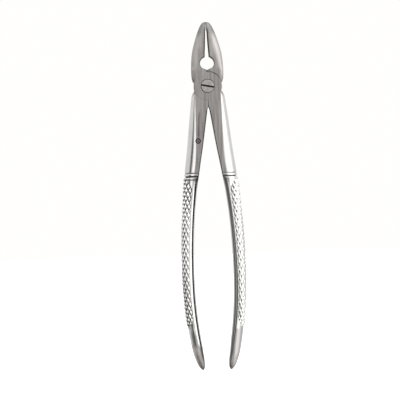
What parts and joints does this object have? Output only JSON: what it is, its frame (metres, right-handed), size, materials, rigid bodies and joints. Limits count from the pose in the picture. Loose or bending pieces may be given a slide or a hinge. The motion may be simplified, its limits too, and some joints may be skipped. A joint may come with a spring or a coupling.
{
  "type": "dental extraction forceps",
  "caption": "Straight upper extraction forceps: two crossed steel levers on a slotted pivot screw, with hollow beaks and diamond-cut grips.",
  "frame": {"origin": "on the pivot's axis, at the flat back face of the joint, where the forceps lie on a tray; the middle of the thickness is 4.5 mm in front of it", "axes": "+Z along the tool towards the beak tips, +X towards the handle of the front lever, +Y from the screw head's face to the back face"},
  "size_m": [0.0332, 0.0116, 0.1772],
  "materials": {
    "lever_steel": "satin at the beaks and joint, polished on the shanks and grips",
    "screw_steel": "fine-turned face"
  },
  "bodies": {
    "rear_half": {"rear_lever": "lever_steel", "pivot_screw": "screw_steel"},
    "front_half": {"front_lever": "lever_steel"}
  },
  "joints": [
    {"name": "pivot", "type": "hinge", "parent": "rear_half", "child": "front_half", "pos_m": [0, 0, 0], "axis": [0, -1, 0], "range_deg": [0, 36]}
  ]
}
